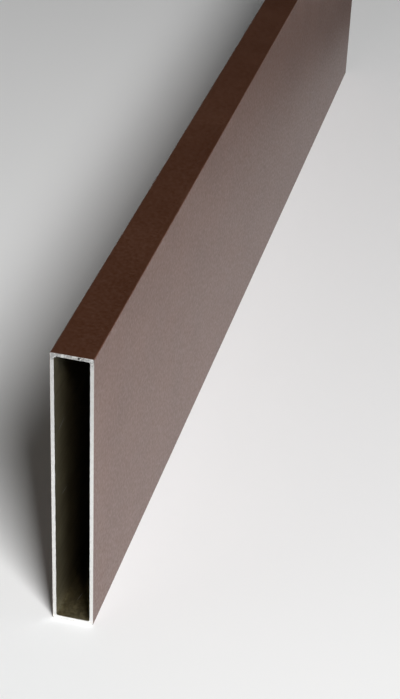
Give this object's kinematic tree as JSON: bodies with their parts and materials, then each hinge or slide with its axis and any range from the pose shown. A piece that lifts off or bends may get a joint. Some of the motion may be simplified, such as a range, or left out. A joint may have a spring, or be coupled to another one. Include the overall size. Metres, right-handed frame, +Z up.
{
  "type": "aluminium extrusion profile",
  "caption": "Slender rectangular hollow section, extruded in aluminium, powder coated brown outside and sawn square at both ends.",
  "frame": {"origin": "middle of the footprint of the narrow edge that the section stands on, halfway along its length", "axes": "+X across the 20 mm width, +Y along the stock, +Z up the 150 mm height"},
  "size_m": [0.02, 0.67, 0.15],
  "materials": {
    "powder_coat": "satin"
  },
  "bodies": {
    "root": {"box_section": "powder_coat"}
  },
  "joints": []
}
